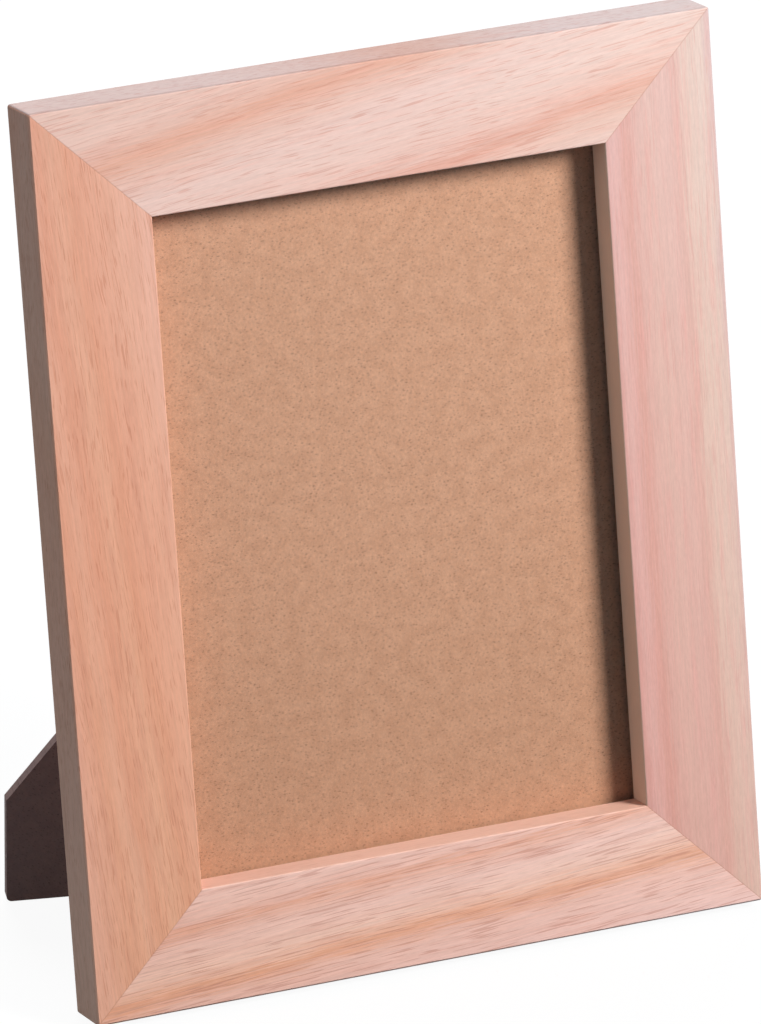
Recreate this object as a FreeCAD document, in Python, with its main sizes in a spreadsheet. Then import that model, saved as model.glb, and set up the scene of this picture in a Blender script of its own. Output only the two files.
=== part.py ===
import FreeCAD, Part
import math
import os
import Sketcher

# Easel back photo frame for a 13 x 18 cm photo, stood upright as it leans on its strut.
# Flat pieces are drawn in the plane of the frame: x to the viewer's right, y up the frame,
# z out of the front, with z = 0 on the back face. Hinge pieces are drawn in the plane of the
# closed strut: x along the pin, y down the strut, z away from the back.

doc = FreeCAD.newDocument("easel_frame")
sheet = doc.addObject("Spreadsheet::Sheet", "Sizes")
size = {}


def keep(named):
    for name, value in named.items():
        row = len(size) + 1
        size[name] = value
        sheet.set("A%d" % row, name)
        sheet.set("B%d" % row, repr(float(value)))
        sheet.setAlias("B%d" % row, name)


# Driving sizes in millimetres and degrees
frame_sizes = {
    "frame_width": 180.0,
    "frame_height": 230.0,
    "rail_width": 30.0,
    "lip_depth": 8.0,         # front face to the pane
    "lip_reach": 5.5,         # how far the lip covers the rebate
    "corner_round": 0.8,
    "front_arris": 0.5,
    "back_arris": 0.5,
    "sight_arris": 0.4,
    "lean_degrees": 10.0,
    "pane_thick": 2.0,
    "card_thick": 1.0,
    "board_thick": 3.0,
    "stack_clear": 0.5,       # rebate wall to the edge of pane, card and board
    "board_edge": 0.4,
    "cut_over": 2.0,          # overrun of every cut past its stock
    "fixing_clear": 0.02,     # driven or pressed fixing in its hole, on the radius
}
v_nail_sizes = {
    "v_nail_first": 7.0,      # outer corner to the nail, along each rail
    "v_nail_second": 17.0,
    "v_nail_leg": 5.0,
    "v_nail_thick": 0.5,
    "v_nail_deep": 10.0,
}
strut_sizes = {
    "strut_thick": 3.0,
    "strut_width": 40.0,
    "strut_gap": 0.3,         # back of the frame to the folded strut
    "strut_open_degrees": 20.0,
    "strut_top_round": 3.0,
    "hinge_past_centre": 40.0,
    "foot_inset": 0.2,        # side of the frame to the cut side of the folded foot
    "foot_round": 1.4,
}
hinge_sizes = {
    "leaf_thick": 0.8,
    "leaf_inset": 4.0,        # side of the strut to the side of the leaf
    "leaf_reach": 20.0,       # pin axis to the far edge of each leaf
    "leaf_round": 3.0,
    "outer_knuckle": 5.8,
    "knuckle_gap": 0.3,
    "seam_gap": 0.3,          # slit where a rolled knuckle meets its leaf
    "pin_clear": 0.05,
    "pin_head_proud": 0.45,   # radius of the peened head over that of the pin
    "pin_head_high": 0.8,
    "pin_end_gap": 0.1,
    "tail_width": 3.5,
    "tail_gap": 0.6,          # pin head to the tail beside it
    "stop_clear": 0.02,
    "rivet_shank": 1.5,
    "rivet_head": 2.8,
    "rivet_head_high": 0.9,
    "rivet_flare": 2.5,
    "rivet_flare_deep": 0.7,
    "rivet_side_inset": 7.0,  # sides and far edge of a leaf to its rivets
    "rivet_end_inset": 6.0,
}
button_sizes = {
    "button_width": 9.0,
    "button_reach": 13.0,
    "button_thick": 1.0,
    "button_lip": 3.0,
    "button_rise": 0.8,
    "button_tip_round": 3.0,
    "button_spread": 32.0,
    "button_set_back": 6.5,   # rebate wall to the screw
    "turn_clear": 0.05,       # face play of a turn button
    "screw_shank": 1.4,
    "screw_head": 3.0,
    "screw_head_high": 1.6,
    "screw_deep": 9.0,
    "screw_play": 0.08,
}
hanger_sizes = {
    "hanger_length": 40.0,
    "hanger_width": 9.0,
    "hanger_thick": 0.8,
    "hanger_rise": 1.6,
    "hanger_foot": 5.0,       # flat end round each nail
    "hanger_step": 2.0,
    "hanger_set_in": 8.0,     # outer edge of the rail to the middle of the hanger
    "hanger_round": 2.0,
    "tooth_margin": 2.5,      # end of the raised bridge to the first notch
    "tooth_deep": 1.6,
    "tooth_count": 7,
    "nail_shank": 0.6,
    "nail_head": 1.4,
    "nail_head_high": 0.6,
    "nail_deep": 7.0,
    "nail_end_inset": 3.5,
}
for table in (frame_sizes, v_nail_sizes, strut_sizes, hinge_sizes, button_sizes, hanger_sizes):
    keep(table)

quarter_turn = 90
half_share = 0.5
tooth_share = 0.86            # width of a notch as a share of the pitch
round_share = 0.98            # largest end round as a share of the half width
near_share = 0.0001           # how far off an edge may lie and still be the one looked for
lean = math.radians(size["lean_degrees"])
opening = math.radians(size["strut_open_degrees"])

# Frame section and stack: the lip, the pane, the card and the board fill the depth exactly
keep({
    "frame_depth": size["lip_depth"] + size["pane_thick"] + size["card_thick"] + size["board_thick"],
    "half_width": size["frame_width"] * half_share,
    "half_height": size["frame_height"] * half_share,
    "rebate_start": size["rail_width"] - size["lip_reach"],
    "mitre_far": size["rail_width"] + size["cut_over"],
    "lip_back": size["pane_thick"] + size["card_thick"] + size["board_thick"],
    "card_back": size["board_thick"],
    "pane_back": size["board_thick"] + size["card_thick"],
})
keep({
    "stack_half_width": size["half_width"] - size["rebate_start"] - size["stack_clear"],
    "stack_half_height": size["half_height"] - size["rebate_start"] - size["stack_clear"],
})

# Nails across the mitres, measured from the outer corner along each rail
for which in ("first", "second"):
    middle = size["v_nail_" + which]
    half_thick = size["v_nail_thick"] * half_share
    keep({
        "v_low_" + which: middle - half_thick,
        "v_high_" + which: middle + half_thick,
        "v_far_" + which: middle + size["v_nail_leg"],
    })

# Rolled knuckles touch the board below and the back of the strut leaf above
keep({"knuckle_out": (size["strut_gap"] + size["strut_thick"] + size["leaf_thick"]) * half_share})
keep({
    "knuckle_in": size["knuckle_out"] - size["leaf_thick"],
    "half_strut": size["strut_width"] * half_share,
    "strut_back": size["strut_gap"] + size["strut_thick"],
    "strut_start": size["knuckle_out"] + size["knuckle_gap"],
    "clear_behind": size["knuckle_out"] + size["cut_over"],
})
# Along the pin, from the side of the leaf inwards: tail, gap, pin head, gap, outer knuckle,
# gap, middle knuckle
keep({
    "half_leaf": size["half_strut"] - size["leaf_inset"],
    "tail_inner": size["half_strut"] - size["leaf_inset"] - size["tail_width"],
})
keep({"pin_end": size["tail_inner"] - size["tail_gap"]})
keep({"pin_half": size["pin_end"] - size["pin_head_high"]})
keep({
    "half_knuckles": size["pin_half"] - size["pin_end_gap"],
    "knuckle_span": 2 * (size["pin_half"] - size["pin_end_gap"]),
})
keep({"half_middle_slot": size["half_knuckles"] - size["outer_knuckle"]})
keep({
    "half_middle": size["half_middle_slot"] - size["knuckle_gap"],
    "middle_knuckle": 2 * (size["half_middle_slot"] - size["knuckle_gap"]),
    "pin_radius": size["knuckle_in"] - size["pin_clear"],
    "leaf_top": size["strut_back"] + size["leaf_thick"],
    "seam_low": size["leaf_thick"] + size["seam_gap"],
    "seam_high": size["strut_back"] - size["seam_gap"],
    "seam_side": size["knuckle_in"] * half_share,
})
keep({
    "pin_head": size["pin_radius"] + size["pin_head_proud"],
    "seat_start": size["knuckle_out"] + size["knuckle_gap"],
    "rivet_spread": size["half_leaf"] - size["rivet_side_inset"],
    "rivet_row": size["leaf_reach"] - size["rivet_end_inset"],
})
# The tails of the strut leaf run past the pin and land on the board leaf at the full opening
drop_to_leaf = size["knuckle_out"] - size["leaf_thick"] - size["stop_clear"]
keep({
    "tail_reach": (drop_to_leaf + size["knuckle_in"] * math.cos(opening)) / math.sin(opening),
})

# The strut lies along the frame's diagonal, and its hinge stands past the centre of the back
slant = math.atan2(size["frame_width"], size["frame_height"])
hinge_x = size["hinge_past_centre"] * math.sin(slant)
hinge_y = size["half_height"] + size["hinge_past_centre"] * math.cos(slant)

# Height of the ground over the frame's sharp lower back corner, which the arris takes away
ground = size["back_arris"] * math.sin(lean)

# Foot of the strut: the side cut is parallel to the frame's side when folded, the bottom cut
# lies on the ground when open. A point x, y of the strut's front face stands on the ground
# where along * y + across * x = level.
face_drop = size["strut_gap"] - size["knuckle_out"]
along = math.cos(lean) * math.cos(opening) * math.cos(slant) + math.sin(lean) * math.sin(opening)
across = math.cos(lean) * math.sin(slant)
level = (hinge_y * math.cos(lean)
         + face_drop * math.sin(opening) * math.cos(slant) * math.cos(lean)
         - (size["knuckle_out"] + face_drop * math.cos(opening)) * math.sin(lean)
         - ground)
side = size["foot_inset"] - size["half_width"] - hinge_x
half_strut = size["half_strut"]
corner_y = ((level * math.cos(slant) - across * side)
            / (along * math.cos(slant) + across * math.sin(slant)))
corner_x = (side + corner_y * math.sin(slant)) / math.cos(slant)
keep({
    "foot_corner_x": corner_x,
    "foot_corner_y": corner_y,
    "foot_side_y": (-half_strut * math.cos(slant) - side) / math.sin(slant),
    "foot_toe_y": (level - across * half_strut) / along,
})

# Turn buttons, screws and hangers
keep({
    "button_place": size["rebate_start"] - size["button_set_back"],
    "button_half": size["button_width"] * half_share,
    "button_top": size["turn_clear"] + size["button_thick"],
    "button_bend": size["button_reach"] - size["button_lip"],
    "button_tip": size["turn_clear"] + size["button_rise"],
    "button_tip_top": size["turn_clear"] + size["button_rise"] + size["button_thick"],
    "button_end_round": size["button_width"] * half_share * round_share,
    "button_hole": size["screw_shank"] + size["screw_play"],
    "screw_seat": 2 * size["turn_clear"] + size["button_thick"],
    "screw_hole": size["screw_shank"] + size["fixing_clear"],
})
bridge_half = size["hanger_length"] * half_share - size["hanger_foot"] - size["hanger_step"]
teeth_span = 2 * (bridge_half - size["tooth_margin"])
keep({
    "screw_length": size["screw_seat"] + size["screw_deep"],
    "button_row": size["half_height"] - size["button_place"],
    "hanger_half": size["hanger_length"] * half_share,
    "bridge_half": bridge_half,
    "bridge_foot": bridge_half + size["hanger_step"],
    "bridge_top": size["hanger_rise"] + size["hanger_thick"],
    "hanger_edge": size["hanger_width"] * half_share,
    "tooth_root": size["hanger_width"] * half_share - size["tooth_deep"],
    "tooth_out": size["hanger_width"] * half_share + size["cut_over"],
    "tooth_pitch": teeth_span / size["tooth_count"],
    "nail_spread": size["hanger_length"] * half_share - size["nail_end_inset"],
    "nail_hole": size["nail_shank"] + size["fixing_clear"],
    "nail_row": size["half_height"] - size["hanger_set_in"],
    "nail_column": size["half_width"] - size["hanger_set_in"],
    "nail_length": size["hanger_thick"] + size["nail_deep"],
    "rivet_hole": size["rivet_shank"] + size["fixing_clear"],
    "flare_hole": size["rivet_flare"] + size["fixing_clear"],
    "board_rivet_length": size["leaf_thick"] + size["board_thick"],
    "strut_rivet_length": size["leaf_thick"] + size["strut_thick"],
})
tooth_half = size["tooth_pitch"] * tooth_share * half_share
tooth_first = (teeth_span - size["tooth_pitch"]) * half_share
keep({
    "tooth_first": tooth_first,
    "tooth_left": tooth_first + tooth_half,
    "tooth_right": tooth_first - tooth_half,
    "board_flare_start": size["board_thick"] - size["rivet_flare_deep"],
})


# Sketches and features tied to the sheet. A size with a minus sign before its name is measured
# to the negative side, and a size named "" is zero.
def amount(name):
    if not name:
        return 0.0
    return -size[name[1:]] if name.startswith("-") else size[name]


def formula(name):
    return "-Sizes." + name[1:] if name.startswith("-") else "Sizes." + name


def plane(body, role):
    return [item for item in body.Origin.OriginFeatures if item.Role == role][0]


def sketch_on(body, name, role, offset=("", "", "")):
    sketch = body.newObject("Sketcher::SketchObject", name)
    sketch.AttachmentSupport = [(plane(body, role), "")]
    sketch.MapMode = "FlatFace"
    for axis, shift in zip("xyz", offset):
        if shift:
            sketch.setExpression("AttachmentOffset.Base." + axis, formula(shift))
    return sketch


def pin_point(sketch, geometry, end, place):
    for kind, axis, name in (("DistanceX", -2, place[0]), ("DistanceY", -1, place[1])):
        if name:
            rule = Sketcher.Constraint(kind, -1, 1, geometry, end, amount(name))
            index = sketch.addConstraint(rule)
            sketch.setExpression("Constraints[%d]" % index, formula(name))
        else:
            sketch.addConstraint(Sketcher.Constraint("PointOnObject", geometry, end, axis))


def polygon(sketch, places):
    corners = [FreeCAD.Vector(amount(x), amount(y), 0) for x, y in places]
    first = sketch.GeometryCount
    for index, corner in enumerate(corners):
        following = corners[(index + 1) % len(corners)]
        sketch.addGeometry(Part.LineSegment(corner, following), False)
    for index, place in enumerate(places):
        following = first + (index + 1) % len(corners)
        sketch.addConstraint(Sketcher.Constraint("Coincident", first + index, 2, following, 1))
        pin_point(sketch, first + index, 1, place)


def circle(sketch, place, radius):
    middle = FreeCAD.Vector(amount(place[0]), amount(place[1]), 0)
    index = sketch.GeometryCount
    sketch.addGeometry(Part.Circle(middle, FreeCAD.Vector(0, 0, 1), amount(radius)), False)
    pin_point(sketch, index, 3, place)
    rule = sketch.addConstraint(Sketcher.Constraint("Radius", index, amount(radius)))
    sketch.setExpression("Constraints[%d]" % rule, formula(radius))


def new_body(label):
    body = doc.addObject("PartDesign::Body", label)
    body.Label = label
    return body


def pad(body, sketch, length, both_ways=False, backwards=False):
    feature = body.newObject("PartDesign::Pad", sketch.Name + "_pad")
    feature.Profile = sketch
    feature.setExpression("Length", formula(length))
    feature.SideType = "Symmetric" if both_ways else "One side"
    feature.Reversed = backwards
    doc.recompute()
    return feature


# A cut starts at its sketch and runs along +z of the sketch, or both ways right through
def pocket(body, sketch, length=""):
    feature = body.newObject("PartDesign::Pocket", sketch.Name + "_cut")
    feature.Profile = sketch
    if length:
        feature.setExpression("Length", formula(length))
        feature.Reversed = True
    else:
        feature.Type = "ThroughAll"
        feature.SideType = "Symmetric"
    doc.recompute()
    return feature


def edges_at(shape, **place):
    found = []
    near = size["frame_width"] * near_share
    for index, edge in enumerate(shape.Edges):
        points = [vertex.Point for vertex in edge.Vertexes]
        if all(abs(getattr(point, axis) - value) < near
               for point in points for axis, value in place.items()):
            found.append("Edge%d" % (index + 1))
    return found


def rounded(body, name, radius, edges):
    base = body.Tip
    feature = body.newObject("PartDesign::Fillet", name)
    feature.Base = (base, edges)
    feature.setExpression("Radius", formula(radius))
    doc.recompute()


def bevelled(body, name, length, edges):
    base = body.Tip
    feature = body.newObject("PartDesign::Chamfer", name)
    feature.Base = (base, edges)
    feature.setExpression("Size", formula(length))
    doc.recompute()


def mirrored(body, name, features, role):
    feature = body.newObject("PartDesign::Mirrored", name)
    feature.Originals = features
    feature.MirrorPlane = (plane(body, role), [""])
    body.Tip = feature
    doc.recompute()
    return feature


# Where things lie: the leaning frame, its centre, the hinge and the strut
def turned(axis, degrees):
    return FreeCAD.Rotation(FreeCAD.Vector(*axis), degrees)


def moved(x, y, z, rotation=FreeCAD.Rotation()):
    return FreeCAD.Placement(FreeCAD.Vector(x, y, z), rotation)


frame_place = moved(0, 0, 0, turned((1, 0, 0), quarter_turn - size["lean_degrees"]))
centre_place = frame_place * moved(0, size["half_height"], 0)
facing_back = turned((1, 0, 0), 2 * quarter_turn)
along_strut = turned((0, 0, 1), -math.degrees(slant)) * facing_back
hinge_place = frame_place * moved(hinge_x, hinge_y, 0, along_strut)
pin_place = hinge_place * moved(0, 0, size["knuckle_out"])
swing = moved(0, 0, 0, turned((1, 0, 0), size["strut_open_degrees"]))
strut_place = pin_place * swing * moved(0, 0, -size["knuckle_out"])
pieces = {}


def finish(label, item, place):
    item.Placement = place
    pieces[label] = item


# Four mitred rails of one moulding, sanded together: every rail is cut from its stock, and
# the outer corners and arrises come from one rounded block that has the finished outline.
def sanded_block():
    body = new_body("sanded_block")
    sketch = sketch_on(body, "block_outline", "XY_Plane")
    polygon(sketch, [("-half_width", ""), ("half_width", ""),
                     ("half_width", "frame_height"), ("-half_width", "frame_height")])
    blank = pad(body, sketch, "frame_depth")
    upright = [edge for x in (-size["half_width"], size["half_width"])
               for y in (0.0, size["frame_height"]) for edge in edges_at(blank.Shape, x=x, y=y)]
    rounded(body, "block_corners", "corner_round", upright)
    bevelled(body, "block_front", "front_arris", edges_at(body.Shape, z=size["frame_depth"]))
    bevelled(body, "block_back", "back_arris", edges_at(body.Shape, z=0.0))
    return body


def rail_stock(label, half_length, screws, nails):
    body = new_body(label + "_stock")
    section = sketch_on(body, label + "_section", "YZ_Plane")
    polygon(section, [("", ""), ("rebate_start", ""), ("rebate_start", "lip_back"),
                      ("rail_width", "lip_back"), ("rail_width", "frame_depth"),
                      ("", "frame_depth")])
    length = "frame_width" if half_length == "half_width" else "frame_height"
    pad(body, section, length, both_ways=True)
    inner_edge = edges_at(body.Shape, y=size["rail_width"], z=size["frame_depth"])
    rounded(body, label + "_sight", "sight_arris", inner_edge)
    mitre = sketch_on(body, label + "_mitre", "XY_Plane", (half_length, "", ""))
    polygon(mitre, [("cut_over", "-cut_over"), ("-mitre_far", "mitre_far"), ("cut_over", "mitre_far")])
    mitre_cut = pocket(body, mitre)
    slots = sketch_on(body, label + "_slots", "XY_Plane", (half_length, "", ""))
    for which in ("first", "second"):
        low, high, far = ("v_%s_%s" % (edge, which) for edge in ("low", "high", "far"))
        polygon(slots, [("-" + far, low), ("-" + low, low), ("-" + low, high), ("-" + far, high)])
    slot_cut = pocket(body, slots, "v_nail_deep")
    mirrored(body, label + "_other_end", [mitre_cut, slot_cut], "YZ_Plane")
    for name, spread, inset, radius, deep, wanted in (
            ("_screw_holes", "button_spread", "button_place", "screw_hole", "screw_deep", screws),
            ("_nail_holes", "nail_spread", "hanger_set_in", "nail_hole", "nail_deep", nails)):
        if wanted:
            holes = sketch_on(body, label + name, "XY_Plane")
            circle(holes, ("-" + spread, inset), radius)
            circle(holes, (spread, inset), radius)
            pocket(body, holes, deep)
    return body


def make_rails():
    block = sanded_block()
    wide, tall = size["half_width"], size["half_height"]
    for label, half_length, x, y, turns, screws, nails in (
            ("bottom_rail", "half_width", 0, 0, 0, True, False),
            ("right_stile", "half_height", wide, tall, 1, False, True),
            ("top_rail", "half_width", 0, size["frame_height"], 2, True, True),
            ("left_stile", "half_height", -wide, tall, 3, False, False)):
        stock = rail_stock(label, half_length, screws, nails)
        stock.Placement = moved(x, y, 0, turned((0, 0, 1), turns * quarter_turn))
        rail = doc.addObject("Part::Common", label)
        rail.Label = label
        rail.Base = stock
        rail.Tool = block
        doc.recompute()
        finish(label, rail, frame_place)


# Bent steel nails, two across each mitre, driven flush from the back
def make_v_nails():
    body = new_body("corner_v_nails")
    body.AllowCompound = True
    sketch = sketch_on(body, "v_nail_outline", "XY_Plane", ("-half_width", "-half_height", ""))
    for which in ("first", "second"):
        low, high, far = ("v_%s_%s" % (edge, which) for edge in ("low", "high", "far"))
        polygon(sketch, [(low, low), (far, low), (far, high), (high, high), (high, far), (low, far)])
    pad(body, sketch, "v_nail_deep")
    for name, role in (("v_nails_across", "YZ_Plane"), ("v_nails_up", "XZ_Plane")):
        copy = mirrored(body, name, [], role)
        copy.TransformMode = "Whole shape"
        doc.recompute()
    finish("corner_v_nails", body, centre_place)


# Flat sheets of the stack, from the front: pane, card, board
def sheet_body(label, back, thick):
    body = new_body(label)
    sketch = sketch_on(body, label + "_outline", "XY_Plane", ("", "", back))
    wide, tall = "stack_half_width", "stack_half_height"
    polygon(sketch, [("-" + wide, "-" + tall), (wide, "-" + tall), (wide, tall), ("-" + wide, tall)])
    pad(body, sketch, thick)
    return body


def make_stack():
    finish("glazing_pane", sheet_body("glazing_pane", "pane_back", "pane_thick"), centre_place)
    finish("insert_card", sheet_body("insert_card", "card_back", "card_thick"), centre_place)
    board = sheet_body("backing_board", "", "board_thick")
    bevelled(board, "board_back_edge", "board_edge", edges_at(board.Shape, z=0.0))
    spots = []
    for name, x in (("left", -size["rivet_spread"]), ("right", size["rivet_spread"])):
        spot = along_strut.multVec(FreeCAD.Vector(x, -size["rivet_row"], 0))
        keep({
            "board_rivet_x_" + name: hinge_x + spot.x,
            "board_rivet_y_" + name: hinge_y - size["half_height"] + spot.y,
        })
        spots.append(("board_rivet_x_" + name, "board_rivet_y_" + name))
    holes = sketch_on(board, "board_rivet_holes", "XY_Plane")
    for spot in spots:
        circle(holes, spot, "rivet_hole")
    pocket(board, holes)
    flares = sketch_on(board, "board_rivet_flares", "XY_Plane", ("", "", "board_flare_start"))
    for spot in spots:
        circle(flares, spot, "flare_hole")
    pocket(board, flares, "rivet_flare_deep")
    finish("backing_board", board, centre_place)


# Strut: a board along the frame's diagonal with a squared foot, drawn folded flat
def make_strut():
    body = new_body("easel_strut")
    sketch = sketch_on(body, "strut_outline", "XY_Plane", ("", "", "strut_gap"))
    polygon(sketch, [("-half_strut", "strut_start"), ("half_strut", "strut_start"),
                     ("half_strut", "foot_toe_y"), ("foot_corner_x", "foot_corner_y"),
                     ("-half_strut", "foot_side_y")])
    blank = pad(body, sketch, "strut_thick")
    foot = edges_at(blank.Shape, x=size["foot_corner_x"], y=size["foot_corner_y"])
    rounded(body, "foot_corner", "foot_round", foot)
    top = [edge for x in (-size["half_strut"], size["half_strut"])
           for edge in edges_at(body.Shape, x=x, y=size["strut_start"])]
    rounded(body, "strut_top_corners", "strut_top_round", top)
    spots = (("-rivet_spread", "rivet_row"), ("rivet_spread", "rivet_row"))
    holes = sketch_on(body, "strut_rivet_holes", "XY_Plane")
    flares = sketch_on(body, "strut_rivet_flares", "XY_Plane", ("", "", "strut_gap"))
    for spot in spots:
        circle(holes, spot, "rivet_hole")
        circle(flares, spot, "flare_hole")
    pocket(body, holes)
    pocket(body, flares, "rivet_flare_deep")
    finish("easel_strut", body, strut_place)


# Strut hinge: two leaves with rolled knuckles on one peened pin. The strut leaf's two tails
# pass outside the pin heads and stop against the board leaf when the strut is fully open.
def roll_knuckle(body, label, span, slit):
    ring = sketch_on(body, label + "_roll", "YZ_Plane")
    circle(ring, ("", "knuckle_out"), "knuckle_out")
    pad(body, ring, span, both_ways=True)
    bore = sketch_on(body, label + "_bore", "YZ_Plane")
    circle(bore, ("", "knuckle_out"), "knuckle_in")
    pocket(body, bore)
    seam = sketch_on(body, label + "_seam", "YZ_Plane")
    polygon(seam, slit)
    pocket(body, seam)


def leaf_holes(body, label, row):
    holes = sketch_on(body, label + "_holes", "XY_Plane")
    circle(holes, ("-rivet_spread", row), "rivet_hole")
    circle(holes, ("rivet_spread", row), "rivet_hole")
    pocket(body, holes)


def make_board_leaf():
    body = new_body("hinge_board_leaf")
    plate = sketch_on(body, "board_leaf_plate", "XY_Plane")
    polygon(plate, [("-half_leaf", "-leaf_reach"), ("half_leaf", "-leaf_reach"),
                    ("half_leaf", "-seat_start"), ("half_knuckles", "-seat_start"),
                    ("half_knuckles", ""), ("-half_knuckles", ""),
                    ("-half_knuckles", "-seat_start"), ("-half_leaf", "-seat_start")])
    pad(body, plate, "leaf_thick")
    corners = [edge for x in (-size["half_leaf"], size["half_leaf"])
               for edge in edges_at(body.Shape, x=x, y=-size["leaf_reach"])]
    rounded(body, "board_leaf_corners", "leaf_round", corners)
    roll_knuckle(body, "board_leaf", "knuckle_span",
                 [("-clear_behind", "leaf_thick"), ("-seam_side", "leaf_thick"),
                  ("-seam_side", "seam_low"), ("-clear_behind", "seam_low")])
    middle = sketch_on(body, "board_leaf_slot", "XY_Plane")
    polygon(middle, [("-half_middle_slot", "-seat_start"), ("half_middle_slot", "-seat_start"),
                     ("half_middle_slot", "clear_behind"), ("-half_middle_slot", "clear_behind")])
    pocket(body, middle)
    leaf_holes(body, "board_leaf", "-rivet_row")
    finish("hinge_board_leaf", body, hinge_place)


def make_strut_leaf():
    body = new_body("hinge_strut_leaf")
    plate = sketch_on(body, "strut_leaf_plate", "XY_Plane", ("", "", "strut_back"))
    polygon(plate, [("-half_leaf", "-tail_reach"), ("-tail_inner", "-tail_reach"),
                    ("-tail_inner", "strut_start"), ("-half_middle", "strut_start"),
                    ("-half_middle", ""), ("half_middle", ""),
                    ("half_middle", "strut_start"), ("tail_inner", "strut_start"),
                    ("tail_inner", "-tail_reach"), ("half_leaf", "-tail_reach"),
                    ("half_leaf", "leaf_reach"), ("-half_leaf", "leaf_reach")])
    pad(body, plate, "leaf_thick")
    corners = [edge for x in (-size["half_leaf"], size["half_leaf"])
               for edge in edges_at(body.Shape, x=x, y=size["leaf_reach"])]
    rounded(body, "strut_leaf_corners", "leaf_round", corners)
    roll_knuckle(body, "strut_leaf", "middle_knuckle",
                 [("seam_side", "seam_high"), ("clear_behind", "seam_high"),
                  ("clear_behind", "strut_back"), ("seam_side", "strut_back")])
    leaf_holes(body, "strut_leaf", "rivet_row")
    finish("hinge_strut_leaf", body, strut_place)


def make_pin():
    body = new_body("hinge_pin")
    half = sketch_on(body, "pin_half_section", "XZ_Plane")
    polygon(half, [("-pin_end", ""), ("-pin_end", "pin_head"), ("-pin_half", "pin_head"),
                   ("-pin_half", "pin_radius"), ("pin_half", "pin_radius"), ("pin_half", "pin_head"),
                   ("pin_end", "pin_head"), ("pin_end", "")])
    turning = body.newObject("PartDesign::Revolution", "pin_turned")
    turning.Profile = half
    turning.ReferenceAxis = (plane(body, "X_Axis"), [""])
    doc.recompute()
    finish("hinge_pin", body, pin_place)


# Round fixings, as many as the places given. Heads stand to the back of the seat, and shanks
# run the other way. In the frame's own plane the back is at -z, at the hinge at +z.
def fixing_group(label, spots, seat, head, head_high, shank, length, to_back):
    body = new_body(label)
    body.AllowCompound = True
    heads = sketch_on(body, label + "_heads", "XY_Plane", ("", "", seat))
    shanks = sketch_on(body, label + "_shanks", "XY_Plane", ("", "", seat))
    for spot in spots:
        circle(heads, spot, head)
        circle(shanks, spot, shank)
    pad(body, heads, head_high, backwards=to_back < 0)
    pad(body, shanks, length, backwards=to_back > 0)
    return body


def make_fixings():
    across = ("-button_spread", "button_spread")
    spots = [(x, y) for x in across for y in ("-button_row", "button_row")]
    keep({"screw_seat_z": -size["screw_seat"], "nail_seat_z": -size["hanger_thick"]})
    screws = fixing_group("turn_button_screws", spots, "screw_seat_z", "screw_head",
                          "screw_head_high", "screw_shank", "screw_length", -1)
    finish("turn_button_screws", screws, centre_place)
    spots = [("-nail_spread", "nail_row"), ("nail_spread", "nail_row"),
             ("nail_column", "-nail_spread"), ("nail_column", "nail_spread")]
    nails = fixing_group("hanger_nails", spots, "nail_seat_z", "nail_head", "nail_head_high",
                         "nail_shank", "nail_length", -1)
    finish("hanger_nails", nails, centre_place)


# Rivets: a round head on the leaf, and a flared end let in flush with the far face
def make_rivets():
    for label, seat, row, length, end, place in (
            ("hinge_board_rivets", "leaf_thick", "-rivet_row", "board_rivet_length",
             "-board_thick", hinge_place),
            ("hinge_strut_rivets", "leaf_top", "rivet_row", "strut_rivet_length",
             "strut_gap", strut_place)):
        spots = (("-rivet_spread", row), ("rivet_spread", row))
        body = fixing_group(label, spots, seat, "rivet_head", "rivet_head_high", "rivet_shank",
                            length, 1)
        flares = sketch_on(body, label + "_flares", "XY_Plane", ("", "", end))
        for spot in spots:
            circle(flares, spot, "rivet_flare")
        pad(body, flares, "rivet_flare_deep")
        finish(label, body, place)


# Turn buttons: sprung steel strips with a raised finger lip, one screw each
def make_turn_buttons():
    row = size["button_place"]
    for label, side, y, turns in (
            ("turn_button_bottom_left", -1, row, 1),
            ("turn_button_bottom_right", 1, row, 1),
            ("turn_button_top_left", -1, size["frame_height"] - row, -1),
            ("turn_button_top_right", 1, size["frame_height"] - row, -1)):
        body = new_body(label)
        section = sketch_on(body, label + "_section", "XZ_Plane")
        polygon(section, [("-button_half", "turn_clear"), ("button_bend", "turn_clear"),
                          ("button_reach", "button_tip"), ("button_reach", "button_tip_top"),
                          ("button_bend", "button_top"), ("-button_half", "button_top")])
        pad(body, section, "button_width", both_ways=True)
        for name, x, radius in (("_end", -size["button_half"], "button_end_round"),
                                ("_tip", size["button_reach"], "button_tip_round")):
            upright = [edge for y_side in (-size["button_half"], size["button_half"])
                       for edge in edges_at(body.Shape, x=x, y=y_side)]
            rounded(body, label + name, radius, upright)
        hole = sketch_on(body, label + "_hole", "XY_Plane")
        circle(hole, ("", ""), "button_hole")
        pocket(body, hole)
        rotation = turned((0, 0, 1), turns * quarter_turn) * facing_back
        finish(label, body, frame_place * moved(side * size["button_spread"], y, 0, rotation))


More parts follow.
